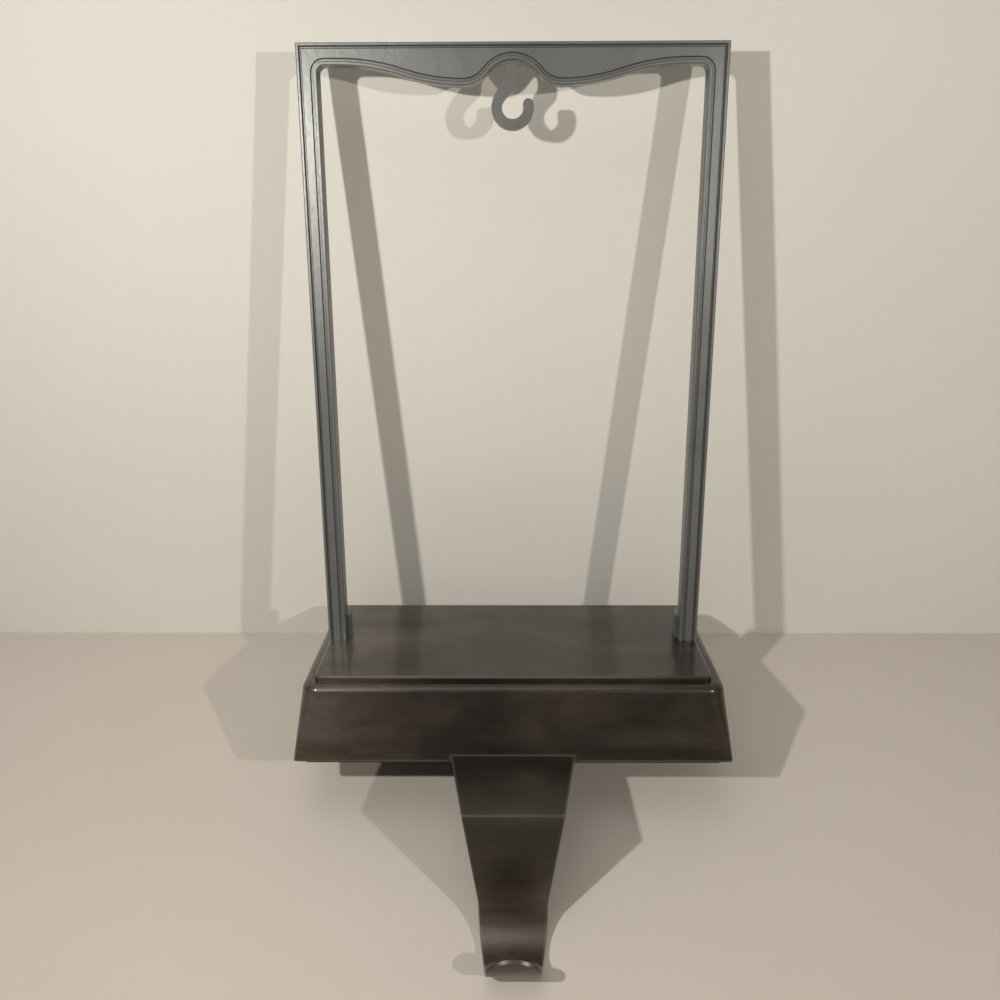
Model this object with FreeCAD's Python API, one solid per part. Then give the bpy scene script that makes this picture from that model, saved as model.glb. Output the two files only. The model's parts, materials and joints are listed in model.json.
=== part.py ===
import FreeCAD, Part
import os
from math import cos, pi, radians, sin, sqrt

# Mantel stocking holder: a heavy cast base that stands on a mantel shelf, a tall moulded
# frame with a small hook for an ornament, and a strap that reaches over the shelf's edge
# and ends in a J hook for the stocking.
# Millimetres. +X is to the right, -Y is the front, +Z is up. The origin is the middle of
# the pad's underside, where the holder rests on the shelf.

# Base casting
base_width = 140.0
base_depth = 76.0
pad_thickness = 1.5
shoulder_height = 23.8
side_slope = 2.9
front_slope = 4.6
shoulder_round = 2.4
foot_corner_radius = 1.6
shoulder_corner_radius = 5.5
side_ledge = 3.6
front_ledge = 3.4
platform_rise = 1.9
platform_corner_radius = 2.0
platform_edge_bevel = 0.5

# Cored pockets in the base's underside, and the walls that they leave
pocket_depth = 15.0
pocket_corner_radius = 4.0
pocket_draft = 1.2
middle_rib = 6.0
strap_rib = 5.0
screw_rib = 5.5
base_wall = 9.0

# Pad
pad_inset = 2.0
pad_corner_radius = 3.0

# Frame, as wide as the platform that it stands on
frame_height = 189.4
frame_thickness = 5.5
leg_width = 6.0
rail_side_depth = 6.2
rail_lobe_depth = 11.8
rail_peak_depth = 4.8
lobe_position = 14.5
rail_shoulder = 6.5
opening_corner_radius = 2.0
rim_width = 0.8
rim_bevel = 0.3
rim_groove_width = 0.9
bead_width = 0.9
bead_bevel = 0.3
bead_groove_width = 1.2
groove_depth = 0.9
groove_slope = 0.3
panel_depth = 0.35

# Boss behind each foot, which takes the frame screw
boss_height = 9.3
boss_depth = 3.4
boss_side = 1.1
boss_round = 1.6

# Ornament hook, cast in one with the frame
ring_drop = 17.8
ring_outer_radius = 6.3
ring_inner_radius = 3.2
ring_tip_angle = 12.0
ring_outer_end = 160.0
ring_inner_end = 150.0
outer_blend = 4.2
inner_blend = 2.9
shoulder_rise = 2.7
shoulder_pull = 2.2
throat_rise = 1.3
throat_pull = 3.4
neck_left = -2.0
neck_right = 1.4
neck_flare = 2.2
neck_flare_height = 3.0
neck_sink = 1.5
hook_thickness = 3.6

# Strap and J hook
strap_thickness = 2.5
strap_recess = 1.8
tongue_width = 39.3
tongue_length = 29.0
strap_reach = 31.4
crease_width = 29.8
crease_outer_radius = 0.6
crease_inner_radius = 2.0
arm_drop = 30.5
heel_width = 20.1
hook_radius = 10.8
tip_width = 14.9
tip_arc_radius = 9.4
tip_setback = 0.15
tip_edge_bevel = 0.7

# Fasteners
frame_screw_diameter = 4.0
frame_screw_length = 16.0
frame_screw_head = 7.6
frame_screw_head_height = 3.0
frame_screw_head_bevel = 0.8
frame_screw_engagement = 8.0
strap_screw_diameter = 5.0
strap_screw_length = 12.0
strap_screw_head = 9.2
strap_screw_spacing = 22.0
strap_screw_from_front = 19.0
driver_recess = 2.4
driver_recess_depth = 1.4

# Clearances
seat_clearance = 0.15
bore_clearance = 0.25
thread_clearance = 0.05
head_clearance = 0.5
hole_end_clearance = 1.0

# Largest distance between two things that count as touching
touch = 0.001

# Levels and places that follow from the sizes above
rim_z = pad_thickness
shoulder_z = rim_z + shoulder_height
platform_z = shoulder_z + platform_rise
shoulder_width = base_width - 2 * side_slope
shoulder_depth = base_depth - 2 * front_slope
platform_width = shoulder_width - 2 * side_ledge
platform_depth = shoulder_depth - 2 * front_ledge
frame_width = platform_width
front_y = -base_depth / 2
frame_front_y = -frame_thickness / 2
frame_back_y = frame_thickness / 2
frame_top_z = platform_z + frame_height
leg_outer_x = frame_width / 2
leg_inner_x = leg_outer_x - leg_width
leg_centre_x = leg_outer_x - leg_width / 2
lobe_start = leg_inner_x - rail_shoulder
strap_top_z = rim_z + strap_recess
strap_bottom_z = strap_top_z - strap_thickness
crease_y = front_y - strap_reach
tongue_end_y = front_y + tongue_length
bend_z = strap_top_z - arm_drop
hook_inner_radius = hook_radius - strap_thickness / 2
hook_outer_radius = hook_radius + strap_thickness / 2
hook_centre_y = crease_y - hook_inner_radius
reach_taper = (tongue_width - crease_width) / (2 * strap_reach)
drop_taper = (crease_width - heel_width) / (2 * arm_drop)
strap_screw_y = front_y + strap_screw_from_front
foot_screw_y = (frame_front_y + frame_back_y + boss_depth) / 2


def vec(x, y, z):
    return FreeCAD.Vector(x, y, z)


def line(a, b):
    return Part.LineSegment(a, b).toShape()


def arc(a, middle, b):
    return Part.Arc(a, middle, b).toShape()


def bezier(points):
    curve = Part.BezierCurve()
    curve.setPoles(points)
    return curve.toShape()


def ogee_radius(width, height):
    """Radius of the two equal arcs that join two levels and lie level at both ends."""
    return (width ** 2 + height ** 2) / (4 * abs(height))


def ogee(start, end, growth):
    """Two equal arcs between points of one upright plane y, level at both ends and moved up by a growth."""
    radius = ogee_radius(end.x - start.x, end.z - start.z)
    rise = radius if end.z > start.z else -radius
    middle = (start + end) / 2
    edges = []
    for a, b, centre in (
        (start, middle, start + vec(0, 0, rise)),
        (middle, end, end - vec(0, 0, rise)),
    ):
        halfway = (a - centre) + (b - centre)
        halfway.normalize()
        points = (a, centre + halfway * radius, b)
        scale = 1 + growth / radius if centre.z < middle.z else 1 - growth / radius
        edges.append(arc(*[centre + (point - centre) * scale for point in points]))
    return edges


def closed_face(edges):
    return Part.Face(Part.Wire(edges))


def rounded_rectangle(width, depth, radius, z):
    """A wire in the plane z: straight sides joined by quarter circles."""
    half_w, half_d = width / 2, depth / 2
    edges = []
    for turn in range(4):
        a = radians(90 * turn)
        along = half_w if turn % 2 == 0 else half_d
        across = half_d if turn % 2 == 0 else half_w
        out, side = vec(cos(a), sin(a), 0), vec(-sin(a), cos(a), 0)
        start = out * along - side * (across - radius)
        end = out * along + side * (across - radius)
        centre = out * (along - radius) + side * (across - radius)
        middle = centre + (out + side) * (radius * cos(pi / 4))
        corner_end = centre + side * radius
        lift = vec(0, 0, z)
        edges.append(line(start + lift, end + lift))
        edges.append(arc(end + lift, middle + lift, corner_end + lift))
    return Part.Wire(edges)


def edges_at(shape, z):
    """The edges of a shape that lie wholly in the plane z."""
    found = []
    for edge in shape.Edges:
        box = edge.BoundBox
        if abs(box.ZMin - z) < touch and abs(box.ZMax - z) < touch:
            found.append(edge)
    return found


def pushed_polygon(corners, push):
    """Solid that a flat polygon sweeps out as it moves along a vector."""
    return Part.Face(Part.makePolygon(corners + corners[:1])).extrude(push)


def cylinder(radius, height, x, y, z):
    return Part.makeCylinder(radius, height, vec(x, y, z))


def sloped_block():
    """Block whose four sides lean in by their slopes, with corners that open out towards the shoulder."""
    half_w, half_d = base_width / 2, base_depth / 2
    block = Part.makeBox(base_width, base_depth, shoulder_height, vec(-half_w, -half_d, rim_z))
    for side in (-1, 1):
        beside = [
            vec(side * half_w, -base_depth, rim_z), vec(side * half_w, base_depth, rim_z),
            vec(side * shoulder_width / 2, base_depth, shoulder_z),
            vec(side * shoulder_width / 2, -base_depth, shoulder_z),
        ]
        before = [
            vec(-base_width, side * half_d, rim_z), vec(base_width, side * half_d, rim_z),
            vec(base_width, side * shoulder_depth / 2, shoulder_z),
            vec(-base_width, side * shoulder_depth / 2, shoulder_z),
        ]
        block = block.cut(pushed_polygon(beside, vec(side * base_width, 0, 0)))
        block = block.cut(pushed_polygon(before, vec(0, side * base_depth, 0)))
    for side_x in (-1, 1):
        for side_y in (-1, 1):
            foot = Part.Vertex(vec(side_x * half_w, side_y * half_d, rim_z))
            corner = next(
                edge for edge in block.Edges
                if edge.BoundBox.ZLength > shoulder_height / 2 and edge.distToShape(foot)[0] < touch
            )
            radii = [foot_corner_radius, shoulder_corner_radius]
            if corner.firstVertex().Point.z > corner.lastVertex().Point.z:
                radii.reverse()
            block = block.makeFillet(*radii, [corner])
    return block


def base_body():
    """Flared block with a rounded shoulder and the raised platform on it."""
    block = sloped_block()
    block = block.makeFillet(shoulder_round, edges_at(block, shoulder_z))
    outline = rounded_rectangle(platform_width, platform_depth, platform_corner_radius, shoulder_z)
    platform = Part.Face(outline).extrude(vec(0, 0, platform_rise))
    platform = platform.makeChamfer(platform_edge_bevel, edges_at(platform, platform_z))
    return block.fuse(platform).removeSplitter()


def cored_pocket(side, row):
    """One of the four pockets, wider at its mouth so that the core draws from it."""
    inner_x = tongue_width / 2 + strap_rib
    outer_x = leg_centre_x - frame_screw_head / 2 - head_clearance - screw_rib
    inner_y = middle_rib / 2
    outer_y = base_depth / 2 - base_wall
    width, depth = outer_x - inner_x, outer_y - inner_y
    mouth = rounded_rectangle(width, depth, pocket_corner_radius, rim_z)
    floor = rounded_rectangle(
        width - 2 * pocket_draft, depth - 2 * pocket_draft,
        pocket_corner_radius - pocket_draft, rim_z + pocket_depth
    )
    pocket = Part.makeLoft([mouth, floor], True, True)
    pocket.translate(vec(side * (inner_x + outer_x) / 2, row * (inner_y + outer_y) / 2, 0))
    return pocket


def strap_channel():
    """Seat for the strap's tongue, open through the foot of the front wall."""
    width = tongue_width + 2 * seat_clearance
    length = tongue_length + seat_clearance
    return Part.makeBox(width, length, strap_recess, vec(-width / 2, front_y, rim_z))


def make_base():
    base = base_body()
    cuts = [strap_channel()]
    for side in (-1, 1):
        for row in (-1, 1):
            cuts.append(cored_pocket(side, row))
        x = side * leg_centre_x
        bore = frame_screw_diameter / 2 + bore_clearance
        seat = platform_z - (frame_screw_length - frame_screw_engagement)
        cuts.append(cylinder(bore, platform_z - rim_z, x, foot_screw_y, rim_z))
        cuts.append(cylinder(frame_screw_head / 2 + head_clearance, seat - rim_z, x, foot_screw_y, rim_z))
        thread = strap_screw_diameter / 2 + thread_clearance
        depth = strap_screw_length - strap_thickness + hole_end_clearance
        cuts.append(cylinder(thread, depth, side * strap_screw_spacing / 2, strap_screw_y, strap_top_z))
    return base.cut(Part.makeCompound(cuts))


def make_pad():
    """Non-slip pad on the underside, cut away round the strap's tongue."""
    width, depth = base_width - 2 * pad_inset, base_depth - 2 * pad_inset
    pad = Part.Face(rounded_rectangle(width, depth, pad_corner_radius, 0)).extrude(vec(0, 0, pad_thickness))
    notch_width = tongue_width + 2 * head_clearance
    notch = Part.makeBox(
        notch_width, tongue_length + head_clearance, pad_thickness, vec(-notch_width / 2, front_y, 0)
    )
    return pad.cut(notch)


def outer_outline(inset, depth):
    """The frame's outer edge, moved in, at a depth behind the front face. It passes below the feet."""
    half = frame_width / 2 - inset
    top = frame_top_z - inset
    bottom = platform_z - frame_thickness
    y = frame_front_y + depth
    corners = [vec(-half, y, bottom), vec(-half, y, top), vec(half, y, top), vec(half, y, bottom)]
    return Part.makePolygon(corners + corners[:1])


def opening_outline(growth, depth):
    """The opening, grown, at a depth: straight legs, and a rail with two lobes and a peak between them."""
    y = frame_front_y + depth
    inner_x = leg_inner_x + growth
    corner_z = frame_top_z - rail_side_depth
    turn_z = corner_z - opening_corner_radius
    bottom_z = platform_z - frame_thickness
    corner_x = leg_inner_x - opening_corner_radius
    radius = opening_corner_radius + growth
    bend = radius * cos(pi / 4)
    lobe_z = frame_top_z - rail_lobe_depth
    peak = vec(0, y, frame_top_z - rail_peak_depth)
    edges = [line(vec(-inner_x, y, bottom_z), vec(inner_x, y, bottom_z))]
    for side in (-1, 1):
        lobe = vec(side * lobe_position, y, lobe_z)
        lobe_end = vec(side * lobe_start, y, corner_z)
        edges.append(line(vec(side * inner_x, y, bottom_z), vec(side * inner_x, y, turn_z)))
        edges.append(arc(
            vec(side * inner_x, y, turn_z),
            vec(side * (corner_x + bend), y, turn_z + bend),
            vec(side * corner_x, y, corner_z + growth),
        ))
        edges.append(line(vec(side * corner_x, y, corner_z + growth), lobe_end + vec(0, 0, growth)))
        edges.extend(ogee(lobe_end, lobe, growth))
        edges.extend(ogee(lobe, peak, growth))
    return Part.Wire(Part.__sortEdges__(edges))


def between(outline, near, near_depth, far, far_depth):
    """Solid with sloped walls between one outline at two sizes and two depths."""
    return Part.makeLoft([outline(near, near_depth), outline(far, far_depth)], True, True)


def moulding_cutter():
    """What is taken from the front face, to leave the rim, the flat panel and the bead."""
    panel_outer = rim_width + rim_groove_width
    panel_inner = bead_width + bead_groove_width
    hollow = between(outer_outline, rim_width, 0, rim_width + groove_slope, groove_depth)
    bead = between(opening_outline, bead_width, 0, bead_width + groove_slope, groove_depth)
    panel = between(outer_outline, panel_outer, panel_depth, panel_outer - groove_slope, groove_depth).cut(
        between(opening_outline, panel_inner, panel_depth, panel_inner - groove_slope, groove_depth)
    )
    return hollow.cut(bead).cut(panel)


def frame_slab():
    """The frame's plain body, with bevelled front edges."""
    bevelled = between(outer_outline, rim_bevel, 0, 0, rim_bevel)
    body = between(outer_outline, 0, rim_bevel, 0, frame_thickness)
    opening = between(opening_outline, 0, 0, 0, frame_thickness)
    bevel = between(opening_outline, bead_bevel, 0, 0, bead_bevel)
    below = Part.makeBox(
        2 * frame_width, 2 * frame_thickness, 2 * frame_thickness,
        vec(-frame_width, -frame_thickness, platform_z - 2 * frame_thickness)
    )
    return bevelled.fuse(body).cut(Part.makeCompound([opening, bevel])).cut(below)


def foot_boss(side):
    """Boss behind a foot, a little wider than the leg towards the middle, with a rounded top."""
    width = leg_width - boss_round / 2 + boss_side
    inner = leg_inner_x - boss_side
    boss = Part.makeBox(
        width, boss_depth + frame_thickness / 2, boss_height, vec(inner, 0, platform_z)
    )
    upright = []
    for edge in boss.Edges:
        box = edge.BoundBox
        at_top = abs(box.ZMin - platform_z - boss_height) < touch
        at_back = abs(box.YMin - boss_depth - frame_thickness / 2) < touch
        if at_top or (at_back and box.ZLength > touch):
            upright.append(edge)
    boss = boss.makeFillet(boss_round, upright)
    return boss if side > 0 else boss.mirror(vec(0, 0, 0), vec(1, 0, 0))


def ornament_hook():
    """Flat C-shaped hook on a neck that leaves the rail at its peak."""
    centre_z = frame_top_z - ring_drop
    y = -hook_thickness / 2

    def at(x, z):
        return vec(x, y, centre_z + z)

    def on_ring(radius, degrees):
        return at(radius * cos(radians(degrees)), radius * sin(radians(degrees)))

    def past_ring(radius, degrees, length):
        """A point that leaves the ring along its tangent, towards the neck."""
        angle = radians(degrees)
        return on_ring(radius, degrees) + vec(length * sin(angle), 0, -length * cos(angle))

    def rail_edge(x):
        """Height of the rail's lower edge near its peak, above the ring's centre."""
        radius = ogee_radius(lobe_position, rail_lobe_depth - rail_peak_depth)
        return ring_drop - rail_peak_depth - radius + sqrt(radius ** 2 - x ** 2)

    def flare(side_x, direction):
        """Where one side of the neck leaves its straight, and where it has run out into the rail."""
        end_x = side_x + direction * neck_flare
        start = at(side_x, rail_edge(side_x) - neck_flare_height)
        return start, at(side_x, rail_edge(end_x)), at(end_x, rail_edge(end_x))

    tip_middle = (ring_outer_radius + ring_inner_radius) / 2
    tip_round = (ring_outer_radius - ring_inner_radius) / 2
    outward = radians(ring_tip_angle + 90)
    tip_end = on_ring(tip_middle, ring_tip_angle) + vec(
        tip_round * cos(outward), 0, tip_round * sin(outward)
    )
    halfway = (ring_tip_angle - 180) / 2
    outer_end = on_ring(ring_outer_radius, ring_outer_end)
    inner_end = on_ring(ring_inner_radius, ring_inner_end)
    outer_tip = on_ring(ring_outer_radius, ring_tip_angle)
    inner_tip = on_ring(ring_inner_radius, ring_tip_angle)
    shoulder_end = at(neck_left, ring_outer_radius + shoulder_rise)
    throat = at(neck_right, ring_outer_radius + throat_rise)
    left_start, left_pull, left_end = flare(neck_left, -1)
    right_start, right_pull, right_end = flare(neck_right, 1)
    sink = vec(0, 0, neck_sink)
    edges = [
        arc(outer_end, on_ring(ring_outer_radius, halfway), outer_tip),
        arc(outer_tip, tip_end, inner_tip),
        arc(inner_tip, on_ring(ring_inner_radius, halfway), inner_end),
        bezier([inner_end, past_ring(ring_inner_radius, ring_inner_end, inner_blend),
                throat - vec(0, 0, throat_pull), throat]),
        line(throat, right_start),
        bezier([right_start, right_pull, right_end]),
        line(right_end, right_end + sink),
        line(right_end + sink, left_end + sink),
        line(left_end + sink, left_end),
        bezier([left_end, left_pull, left_start]),
        line(left_start, shoulder_end),
        bezier([shoulder_end, shoulder_end - vec(0, 0, shoulder_pull),
                past_ring(ring_outer_radius, ring_outer_end, outer_blend), outer_end]),
    ]
    return closed_face(edges).extrude(vec(0, hook_thickness, 0))


def make_frame():
    frame = frame_slab().cut(moulding_cutter())
    frame = frame.fuse([foot_boss(-1), foot_boss(1), ornament_hook()]).removeSplitter()
    hole = frame_screw_diameter / 2 + thread_clearance
    depth = frame_screw_engagement + hole_end_clearance
    for side in (-1, 1):
        frame = frame.cut(cylinder(hole, depth, side * leg_centre_x, foot_screw_y, platform_z))
    return frame


def arm_profile():
    """Side view of the whole strap: the tongue, the crease, the drop and the half turn of the J."""
    crease_z = strap_top_z - crease_outer_radius
    crease_bend = crease_outer_radius * (1 - cos(pi / 4))
    inner_y = crease_y + strap_thickness
    inner_z = strap_bottom_z
    inner_bend = crease_inner_radius * (1 - cos(pi / 4))
    centre = vec(0, hook_centre_y, bend_z)

    def at(y, z):
        return vec(0, y, z)

    def turn(radius):
        return arc(centre + at(radius, 0), centre + at(0, -radius), centre + at(-radius, 0))

    return closed_face(Part.__sortEdges__([
        line(at(tongue_end_y, strap_top_z), at(crease_y + crease_outer_radius, strap_top_z)),
        arc(at(crease_y + crease_outer_radius, strap_top_z),
            at(crease_y + crease_bend, strap_top_z - crease_bend), at(crease_y, crease_z)),
        line(at(crease_y, crease_z), at(crease_y, bend_z)),
        turn(hook_inner_radius),
        line(centre - at(hook_inner_radius, 0), centre - at(hook_outer_radius, 0)),
        turn(hook_outer_radius),
        line(at(inner_y, bend_z), at(inner_y, inner_z - crease_inner_radius)),
        arc(at(inner_y, inner_z - crease_inner_radius), at(inner_y + inner_bend, inner_z - inner_bend),
            at(inner_y + crease_inner_radius, inner_z)),
        line(at(inner_y + crease_inner_radius, inner_z), at(tongue_end_y, inner_z)),
        line(at(tongue_end_y, inner_z), at(tongue_end_y, strap_top_z)),
    ]))


def half_width(y, z):
    """Half of the strap's width between the base and the J, which tapers forwards and downwards."""
    return crease_width / 2 + reach_taper * (y - crease_y) - drop_taper * (strap_top_z - z)


def hook_half_width(y):
    """Half of the J's width, which tapers more slowly in front of its middle."""
    middle = half_width(hook_centre_y, bend_z)
    return middle + (middle - tip_width / 2) * (y - hook_centre_y) / hook_outer_radius


def side_cutter(side, y_range, z_range, half):
    """What lies beside the strap over a range of y and z, where half gives its half width."""
    y0, y1 = y_range
    z0, z1 = z_range
    corners = [vec(side * half(y, z), y, z) for y, z in ((y0, z0), (y1, z0), (y1, z1), (y0, z1))]
    return pushed_polygon(corners, vec(side * tongue_width, 0, 0))


def taper_cutters(side):
    """What one side's taper takes off: a plane down to the bend, and the two tapers of the J."""
    upper_z = strap_top_z + strap_thickness
    lower_z = bend_z - 2 * hook_outer_radius
    hook_front_y = hook_centre_y - hook_outer_radius - strap_thickness
    behind, before = (hook_centre_y, front_y), (hook_front_y, hook_centre_y)
    return [
        side_cutter(side, behind, (bend_z, upper_z), half_width),
        side_cutter(side, behind, (lower_z, bend_z), lambda y, z: half_width(y, bend_z)),
        side_cutter(side, before, (lower_z, upper_z), lambda y, z: hook_half_width(y)),
    ]


def tip_cutter():
    """What is taken off to round the J's tip, seen from the front."""
    y = hook_centre_y - 2 * hook_outer_radius
    centre_z = bend_z - tip_setback - tip_arc_radius
    top_z = bend_z + strap_thickness
    left, right = vec(-tip_arc_radius, y, centre_z), vec(tip_arc_radius, y, centre_z)
    face = closed_face([
        arc(left, vec(0, y, centre_z + tip_arc_radius), right),
        line(right, vec(tip_width, y, centre_z)),
        line(vec(tip_width, y, centre_z), vec(tip_width, y, top_z)),
        line(vec(tip_width, y, top_z), vec(-tip_width, y, top_z)),
        line(vec(-tip_width, y, top_z), vec(-tip_width, y, centre_z)),
        line(vec(-tip_width, y, centre_z), left),
    ])
    return face.extrude(vec(0, 2 * hook_outer_radius, 0))


def make_arm():
    arm = arm_profile().extrude(vec(tongue_width, 0, 0))
    arm.translate(vec(-tongue_width / 2, 0, 0))
    cuts = taper_cutters(-1) + taper_cutters(1)
    cuts.append(tip_cutter())
    head = strap_screw_head / 2
    shank = strap_screw_diameter / 2 + bore_clearance
    for side in (-1, 1):
        x = side * strap_screw_spacing / 2
        cuts.append(Part.makeCone(head, shank, head - shank, vec(x, strap_screw_y, strap_bottom_z)))
        cuts.append(cylinder(shank, strap_thickness, x, strap_screw_y, strap_bottom_z))
    for cut in cuts:
        arm = arm.cut(cut)
    across_tip = [
        edge for edge in arm.Edges
        if edge.BoundBox.YMax < hook_centre_y - hook_inner_radius / 2 and edge.BoundBox.XLength > tip_width / 2
    ]
    return arm.makeChamfer(tip_edge_bevel, across_tip)


def pan_head_screw(x, y, head_z):
    """Screw that points up, with its head under the seat at head_z."""
    radius = frame_screw_head / 2
    head = cylinder(radius, frame_screw_head_height, x, y, head_z - frame_screw_head_height)
    head = head.makeChamfer(frame_screw_head_bevel, edges_at(head, head_z - frame_screw_head_height))
    shank = cylinder(frame_screw_diameter / 2, frame_screw_length, x, y, head_z)
    socket = cylinder(driver_recess / 2, driver_recess_depth, x, y, head_z - frame_screw_head_height)
    return head.fuse(shank).cut(socket).removeSplitter()


def countersunk_screw(x, y, face_z):
    """Screw that points up, with its flat head flush with the strap's underside."""
    head = strap_screw_head / 2 - thread_clearance
    shank = strap_screw_diameter / 2
    cone = Part.makeCone(head, shank, head - shank, vec(x, y, face_z))
    body = cylinder(shank, strap_screw_length, x, y, face_z)
    socket = cylinder(driver_recess / 2, driver_recess_depth, x, y, face_z)
    return cone.fuse(body).cut(socket).removeSplitter()


def make_frame_screws():
    seat = platform_z - (frame_screw_length - frame_screw_engagement)
    return Part.makeCompound([pan_head_screw(side * leg_centre_x, foot_screw_y, seat) for side in (-1, 1)])


def make_arm_screws():
    half = strap_screw_spacing / 2
    screws = [countersunk_screw(side * half, strap_screw_y, strap_bottom_z) for side in (-1, 1)]
    return Part.makeCompound(screws)


parts = {
    "base": make_base,
    "non_slip_pad": make_pad,
    "frame": make_frame,
    "hook_arm": make_arm,
    "frame_screws": make_frame_screws,
    "arm_screws": make_arm_screws,
}

os.makedirs("parts", exist_ok=True)
for name, make in parts.items():
    shape = make()
    shape.exportStep(f"parts/{name}.step")
    box = shape.BoundBox
    print(
        name, "solids", len(shape.Solids), "valid", shape.isValid(), "volume", round(shape.Volume, 1),
        "x", round(box.XMin, 2), round(box.XMax, 2), "y", round(box.YMin, 2), round(box.YMax, 2),
        "z", round(box.ZMin, 2), round(box.ZMax, 2),
    )
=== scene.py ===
import json
from math import asin, atan2, cos, hypot, radians, sin

import bpy
from mathutils import Euler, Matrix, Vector


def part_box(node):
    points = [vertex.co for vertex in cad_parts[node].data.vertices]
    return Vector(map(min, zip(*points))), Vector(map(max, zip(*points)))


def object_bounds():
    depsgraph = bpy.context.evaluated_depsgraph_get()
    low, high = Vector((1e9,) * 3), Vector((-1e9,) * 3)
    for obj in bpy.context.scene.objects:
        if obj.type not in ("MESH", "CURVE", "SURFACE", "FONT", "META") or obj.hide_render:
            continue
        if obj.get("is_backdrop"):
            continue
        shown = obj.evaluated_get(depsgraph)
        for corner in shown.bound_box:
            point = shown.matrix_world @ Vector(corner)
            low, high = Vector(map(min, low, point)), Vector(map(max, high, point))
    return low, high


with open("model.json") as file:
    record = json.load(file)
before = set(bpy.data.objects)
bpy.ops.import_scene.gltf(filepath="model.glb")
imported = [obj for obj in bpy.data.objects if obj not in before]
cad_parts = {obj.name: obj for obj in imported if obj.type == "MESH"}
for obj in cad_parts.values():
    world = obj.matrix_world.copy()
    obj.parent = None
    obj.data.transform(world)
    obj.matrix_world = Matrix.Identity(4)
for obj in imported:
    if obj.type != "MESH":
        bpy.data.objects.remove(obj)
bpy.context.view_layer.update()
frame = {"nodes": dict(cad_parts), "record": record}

# The mantel stocking holder at rest, in metres, degrees, watts and linear colours. The base is
# level, as on a shelf, and the stage leans with the photograph, where the holder tilts back.

# Camera
camera_place = Vector((-0.0011, -0.3021, 0.1635))
camera_pitch = 15.96
camera_yaw = 0.58
camera_roll = -0.20
camera_lens = 33.84
camera_clip_start = 0.01
sensor_width = 36.0

# Stage: a table that touches the J hook's turn and the base's back edge, and a wall behind it
hook_radius = 0.01205
wall_foot_y = 0.0533
wall_lean = 9.9
stage_size = 3.0
stage_cloud_scale = 6.0
stage_roughness = 0.85
stage_specular = 0.25
table_tones = [(0.3, (0.525, 0.475, 0.415)), (0.7, (0.555, 0.505, 0.445))]
wall_tones = [(0.3, (0.700, 0.675, 0.615)), (0.7, (0.730, 0.705, 0.645))]

# Lamps: two small ones in front, which throw the double shadows, and a soft one overhead
key_place = Vector((-0.1778, -0.2829, 0.2140))
fill_place = Vector((0.2598, -0.3781, 0.2030))
glow_place = Vector((-0.10, -0.32, 0.78))
lamp_size = 0.011
glow_size = 0.55
key_watts = 0.78
fill_watts = 0.71
glow_watts = 1.0
key_colour = (1.0, 0.97, 0.92)
fill_colour = (1.0, 0.96, 0.90)
glow_colour = (1.0, 0.98, 0.95)

# Room: its light on the holder, and how bright it looks where nothing stands in front of it
room_light = 0.13
backdrop_light = 0.58
room_colour = (1.0, 0.97, 0.91)

# Noise: most of its values lie between these two
noise_low = 0.3
noise_high = 0.7

# The frame's satin bronze, from dark clouds to pale ones, with painted shade darkening its grooves
satin_tones = [
    (0.30, (0.168, 0.170, 0.162)),
    (0.55, (0.199, 0.202, 0.194)),
    (0.75, (0.220, 0.224, 0.217)),
]
satin_metallic = 0.58
painted_groove_shade_tone = (0.150, 0.148, 0.138)
groove_shade_reach = 0.0016

# The base's and arm's gloss bronze, from dark smears to pale ones, with a painted sheen and painted edge
# highlights
gloss_tones = [
    (0.34, (0.0066, 0.0051, 0.0037)),
    (0.50, (0.0168, 0.0124, 0.0076)),
    (0.66, (0.0405, 0.0306, 0.0190)),
    (0.84, (0.0840, 0.0715, 0.0540)),
]
gloss_metallic = 0.30
smear_stretch = (0.45, 1.0, 1.3)
speck_tones = [(0.30, (0.91, 0.91, 0.91)), (0.75, (1.09, 1.09, 1.09))]
# Painted highlight: the tone, reach and strength of the paler paint along outer edges
edge_highlight_tone = (0.118, 0.102, 0.080)
edge_highlight_reach = 0.0010
edge_highlight_strength = 0.60
# Painted sheen: how much paler the base is painted towards its left end, and the arm towards its lower
# end, where lamp light is reflected
sheen_paint_strength = 0.30
base_coat = {"coat": 0.55, "coat_roughness": 0.13}
base_sheen_paint = {"sheen_axis": "X", "sheen_start": -0.005, "sheen_end": -0.070}
arm_coat = {"coat": 0.50, "coat_roughness": 0.34}
arm_sheen_paint = {"sheen_axis": "Z", "sheen_start": -0.004, "sheen_end": -0.042}

# The pad's rubber and the screws' zinc
rubber_tones = [(0.3, (0.012, 0.012, 0.012)), (0.7, (0.026, 0.025, 0.024))]
rubber_roughness = 0.86
zinc_tones = [(0.3, (0.50, 0.49, 0.46)), (0.7, (0.62, 0.61, 0.58))]

# Places of the Mix node's colour sockets, whose names it shares with its other kinds
mix_factor = 0
mix_first = 6
mix_second = 7
mix_result = 2


def new_material(name):
    """A material with an empty node tree but for its output and a Principled shader."""
    material = bpy.data.materials.new(name)
    material.use_nodes = True
    tree = material.node_tree
    tree.nodes.clear()
    shader = tree.nodes.new("ShaderNodeBsdfPrincipled")
    output = tree.nodes.new("ShaderNodeOutputMaterial")
    tree.links.new(shader.outputs["BSDF"], output.inputs["Surface"])
    return material, tree, shader


def object_coordinates(tree):
    return tree.nodes.new("ShaderNodeTexCoord").outputs["Object"]


def noise(tree, coordinates, scale, detail=4.0, roughness=0.55, distortion=0.0):
    node = tree.nodes.new("ShaderNodeTexNoise")
    node.inputs["Scale"].default_value = scale
    node.inputs["Detail"].default_value = detail
    node.inputs["Roughness"].default_value = roughness
    node.inputs["Distortion"].default_value = distortion
    tree.links.new(coordinates, node.inputs["Vector"])
    return node.outputs["Fac"]


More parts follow.
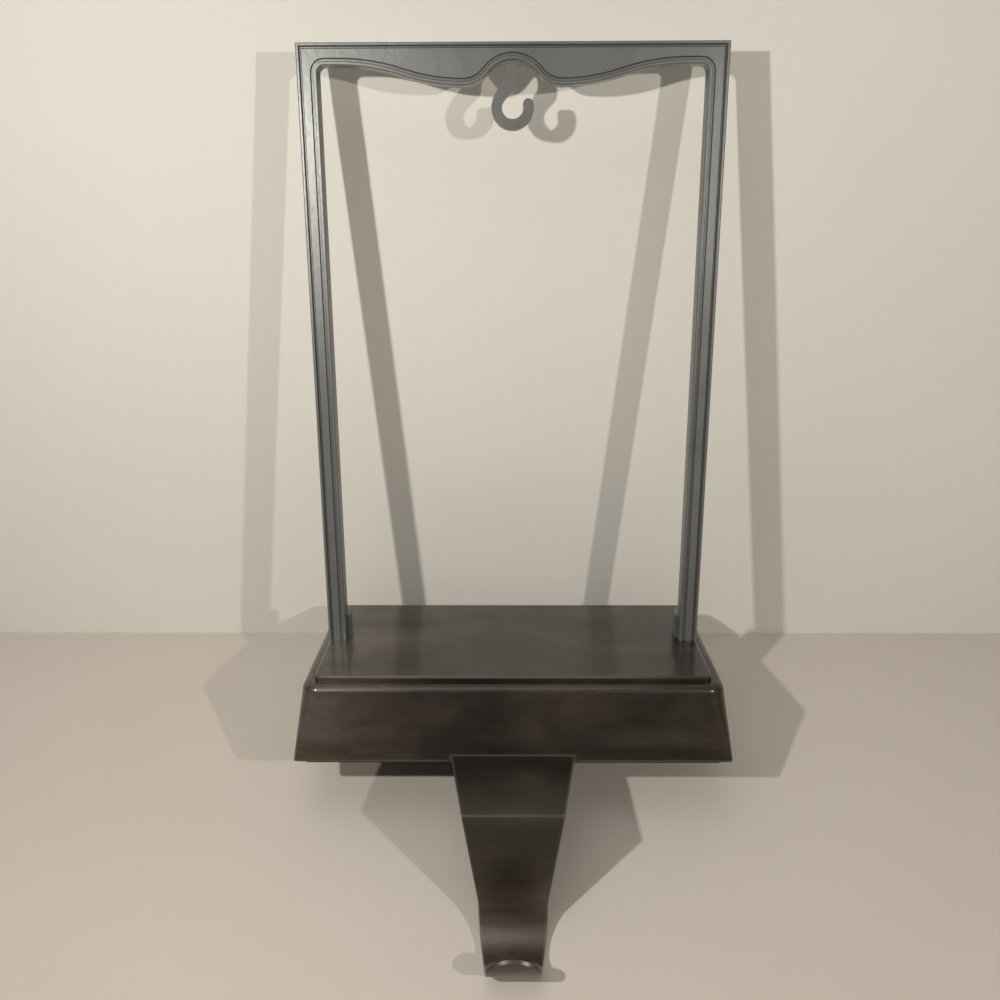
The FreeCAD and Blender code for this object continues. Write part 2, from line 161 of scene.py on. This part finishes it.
def ramp(tree, value, stops):
    """A colour ramp from a list of (place, colour) pairs."""
    node = tree.nodes.new("ShaderNodeValToRGB")
    elements = node.color_ramp.elements
    while len(elements) < len(stops):
        elements.new(0.5)
    for element, (place, colour) in zip(elements, stops):
        element.position = place
        element.color = (*colour, 1.0)
    tree.links.new(value, node.inputs["Fac"])
    return node.outputs["Color"]


def grey_ramp(tree, value, low, high, at_low, at_high):
    """Maps a value that runs from low to high onto at_low to at_high."""
    node = tree.nodes.new("ShaderNodeMapRange")
    node.inputs["From Min"].default_value = low
    node.inputs["From Max"].default_value = high
    node.inputs["To Min"].default_value = at_low
    node.inputs["To Max"].default_value = at_high
    tree.links.new(value, node.inputs["Value"])
    return node.outputs["Result"]


def mix(tree, factor, first, second, blend="MIX"):
    """Mixes two colours. Each value is a number or colour, or another node's output."""
    node = tree.nodes.new("ShaderNodeMix")
    node.data_type = "RGBA"
    node.blend_type = blend
    for place, value in ((mix_factor, factor), (mix_first, first), (mix_second, second)):
        socket = node.inputs[place]
        if hasattr(value, "links"):
            tree.links.new(value, socket)
        elif place == mix_factor:
            socket.default_value = value
        else:
            socket.default_value = (*value, 1.0)
    return node.outputs[mix_result]


def roughen(tree, shader, coordinates, scale, smoothest, roughest):
    """Roughness that drifts between two values."""
    drift = noise(tree, coordinates, scale)
    rough = grey_ramp(tree, drift, noise_low, noise_high, smoothest, roughest)
    tree.links.new(rough, shader.inputs["Roughness"])


def bump(tree, shader, height, distance, strength=1.0):
    node = tree.nodes.new("ShaderNodeBump")
    node.inputs["Strength"].default_value = strength
    node.inputs["Distance"].default_value = distance
    tree.links.new(height, node.inputs["Height"])
    tree.links.new(node.outputs["Normal"], shader.inputs["Normal"])


def nearness(tree, reach, inside):
    """White on flat faces, dark within reach of a groove or, looking inside, of an outer edge."""
    node = tree.nodes.new("ShaderNodeAmbientOcclusion")
    node.samples = 8
    node.only_local = True
    node.inside = inside
    node.inputs["Distance"].default_value = reach
    return node.outputs["AO"]


def satin_bronze():
    """The frame's finish: dark metallic paint with a broad grey sheen, and painted shade in its grooves.
    """
    material, tree, shader = new_material("satin_bronze_look")
    place = object_coordinates(tree)
    clouds = noise(tree, place, scale=34.0, detail=5.0, roughness=0.6, distortion=0.5)
    tone = ramp(tree, clouds, satin_tones)
    # Painted shade: the paint darkens towards a darker tone within reach of a groove.
    groove = nearness(tree, groove_shade_reach, inside=False)
    unshaded_share = grey_ramp(tree, groove, low=0.40, high=0.85, at_low=0.0, at_high=1.0)
    tree.links.new(mix(tree, unshaded_share, painted_groove_shade_tone, tone), shader.inputs["Base Color"])
    roughen(tree, shader, place, scale=120.0, smoothest=0.345, roughest=0.395)
    shader.inputs["Metallic"].default_value = satin_metallic
    bump(tree, shader, noise(tree, place, scale=420.0, detail=3.0), distance=0.00005)
    return material


def gloss_bronze(name, coat, coat_roughness, sheen_axis, sheen_start, sheen_end):
    """The base's and arm's finish: brown smears under a clear gloss, with a painted sheen paler along one
    axis and a painted highlight on the edges.
    """
    material, tree, shader = new_material(name)
    place = object_coordinates(tree)
    smears = tree.nodes.new("ShaderNodeMapping")
    smears.inputs["Scale"].default_value = smear_stretch
    tree.links.new(place, smears.inputs["Vector"])
    clouds = noise(tree, smears.outputs["Vector"], scale=36.0, detail=6.0, roughness=0.62, distortion=0.6)
    # Painted sheen: the tone grows paler along one axis, towards the side where lamp light is reflected.
    axes = tree.nodes.new("ShaderNodeSeparateXYZ")
    tree.links.new(place, axes.inputs["Vector"])
    sheen_share = grey_ramp(tree, axes.outputs[sheen_axis], sheen_start, sheen_end, 0.0, sheen_paint_strength)
    tone_with_sheen = tree.nodes.new("ShaderNodeMath")
    tone_with_sheen.operation = "ADD"
    tree.links.new(clouds, tone_with_sheen.inputs[0])
    tree.links.new(sheen_share, tone_with_sheen.inputs[1])
    tone = ramp(tree, tone_with_sheen.outputs["Value"], gloss_tones)
    specks = noise(tree, place, scale=1100.0, detail=2.0, roughness=0.5)
    paint = mix(tree, 1.0, tone, ramp(tree, specks, speck_tones), "MULTIPLY")
    # Painted highlight: outer edges are painted paler within reach of the edge.
    edge = nearness(tree, edge_highlight_reach, inside=True)
    painted_edge_highlight = grey_ramp(tree, edge, low=0.60, high=0.92, at_low=edge_highlight_strength, at_high=0.0)
    tree.links.new(mix(tree, painted_edge_highlight, paint, edge_highlight_tone), shader.inputs["Base Color"])
    roughen(tree, shader, place, scale=70.0, smoothest=0.34, roughest=0.46)
    shader.inputs["Metallic"].default_value = gloss_metallic
    shader.inputs["Coat Weight"].default_value = coat
    shader.inputs["Coat Roughness"].default_value = coat_roughness
    bump(tree, shader, noise(tree, place, scale=150.0, detail=3.0), distance=0.00004)
    return material


def pad_rubber():
    """Matt black rubber with a fine pebble grain."""
    material, tree, shader = new_material("pad_rubber_look")
    place = object_coordinates(tree)
    grain = tree.nodes.new("ShaderNodeTexVoronoi")
    grain.inputs["Scale"].default_value = 1400.0
    tree.links.new(place, grain.inputs["Vector"])
    tone = ramp(tree, noise(tree, place, scale=300.0), rubber_tones)
    tree.links.new(tone, shader.inputs["Base Color"])
    shader.inputs["Roughness"].default_value = rubber_roughness
    bump(tree, shader, grain.outputs["Distance"], distance=0.0001, strength=0.5)
    return material


def zinc_steel():
    """Zinc-plated steel, faintly mottled."""
    material, tree, shader = new_material("zinc_steel_look")
    place = object_coordinates(tree)
    tone = ramp(tree, noise(tree, place, scale=500.0), zinc_tones)
    tree.links.new(tone, shader.inputs["Base Color"])
    roughen(tree, shader, place, scale=900.0, smoothest=0.26, roughest=0.42)
    shader.inputs["Metallic"].default_value = 1.0
    bump(tree, shader, noise(tree, place, scale=1800.0), distance=0.00003, strength=0.6)
    return material


def dress_nodes():
    """Gives each CAD node its own finish, or else the one of its material slot."""
    looks = {
        "bronze_paint": gloss_bronze("gloss_bronze_look", **base_coat, **base_sheen_paint),
        "pad_rubber": pad_rubber(),
        "screw_steel": zinc_steel(),
    }
    node_looks = {
        "frame": satin_bronze(),
        "hook_arm": gloss_bronze("sheen_painted_bronze_look", **arm_coat, **arm_sheen_paint),
    }
    for part in frame["record"]["subparts"]:
        for slot in frame["nodes"][part["node"]].material_slots:
            slot.material = node_looks.get(part["node"], looks[part["material_slot"]])


def stage_material(name, tones):
    """Matt paint with faint clouds, clear from behind, so that a camera there sees the holder."""
    material, tree, shader = new_material(name)
    clouds = noise(tree, object_coordinates(tree), stage_cloud_scale)
    tree.links.new(ramp(tree, clouds, tones), shader.inputs["Base Color"])
    shader.inputs["Roughness"].default_value = stage_roughness
    shader.inputs["Specular IOR Level"].default_value = stage_specular
    geometry = tree.nodes.new("ShaderNodeNewGeometry")
    clear = tree.nodes.new("ShaderNodeBsdfTransparent")
    sides = tree.nodes.new("ShaderNodeMixShader")
    output = next(node for node in tree.nodes if node.type == "OUTPUT_MATERIAL")
    from_behind, front, behind = sides.inputs
    tree.links.new(geometry.outputs["Backfacing"], from_behind)
    tree.links.new(shader.outputs["BSDF"], front)
    tree.links.new(clear.outputs["BSDF"], behind)
    tree.links.new(sides.outputs["Shader"], output.inputs["Surface"])
    return material


def stage_plane(name, foot, along, up, material):
    """A sheet that rises from its foot, as wide along as the stage."""
    half = stage_size / 2
    corners = [foot - along * half, foot + along * half,
               foot + along * half + up, foot - along * half + up]
    mesh = bpy.data.meshes.new(name)
    mesh.from_pydata(corners, [], [(0, 1, 2, 3)])
    plane = bpy.data.objects.new(name, mesh)
    bpy.context.collection.objects.link(plane)
    plane.data.materials.append(material)
    plane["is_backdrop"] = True


def make_stage():
    arm_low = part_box("hook_arm")[0]
    base_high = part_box("base")[1]
    turn = Vector((0, arm_low[1] + hook_radius, arm_low[2] + hook_radius))
    back_edge = Vector((0, base_high[1], 0))
    reach = back_edge - turn
    tilt = atan2(reach.z, reach.y) + asin(hook_radius / hypot(reach.y, reach.z))
    right = Vector((1, 0, 0))
    back = Vector((0, cos(tilt), sin(tilt)))
    lean = radians(wall_lean)
    up = Vector((0, -sin(lean), cos(lean)))
    front_edge = back_edge - back * stage_size / 2
    wall_foot = back_edge + back * (wall_foot_y - back_edge.y) / cos(tilt)
    table_paint = stage_material("table_paint", table_tones)
    wall_paint = stage_material("wall_paint", wall_tones)
    stage_plane("table", front_edge, right, back * stage_size, table_paint)
    stage_plane("wall", wall_foot, right, up * stage_size, wall_paint)


def area_lamp(name, place, aim, size, watts, colour):
    data = bpy.data.lights.new(name, "AREA")
    data.shape = "DISK"
    data.size = size
    data.energy = watts
    data.color = colour
    lamp = bpy.data.objects.new(name, data)
    lamp.location = place
    lamp.rotation_mode = "QUATERNION"
    lamp.rotation_quaternion = (aim - place).to_track_quat("-Z", "Y")
    bpy.context.collection.objects.link(lamp)


def make_lamps():
    lo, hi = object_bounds()
    aim = (Vector(lo) + Vector(hi)) / 2
    area_lamp("key_lamp", key_place, aim, lamp_size, key_watts, key_colour)
    area_lamp("fill_lamp", fill_place, aim, lamp_size, fill_watts, fill_colour)
    area_lamp("ceiling_glow", glow_place, aim, glow_size, glow_watts, glow_colour)


def make_room():
    """A dim even room, which looks like a pale backdrop where nothing stands in front of it."""
    world = bpy.data.worlds.new("room")
    world.use_nodes = True
    tree = world.node_tree
    sky = tree.nodes["Background"]
    sky.inputs["Color"].default_value = (*room_colour, 1.0)
    seen = tree.nodes.new("ShaderNodeLightPath").outputs["Is Camera Ray"]
    tree.links.new(grey_ramp(tree, seen, 0.0, 1.0, room_light, backdrop_light), sky.inputs["Strength"])
    bpy.context.scene.world = world
    bpy.context.scene.view_settings.view_transform = "Standard"


def make_camera():
    data = bpy.data.cameras.new("camera")
    data.lens = camera_lens
    data.sensor_width = sensor_width
    data.clip_start = camera_clip_start
    camera = bpy.data.objects.new("camera", data)
    camera.location = camera_place
    turn = Euler((radians(90 - camera_pitch), 0, radians(camera_yaw)), "XYZ").to_matrix()
    roll = Euler((0, 0, radians(camera_roll)), "XYZ").to_matrix()
    camera.rotation_mode = "XYZ"
    camera.rotation_euler = (turn @ roll).to_euler("XYZ")
    bpy.context.collection.objects.link(camera)
    bpy.context.scene.camera = camera


make_camera()
dress_nodes()
make_stage()
make_lamps()
make_room()
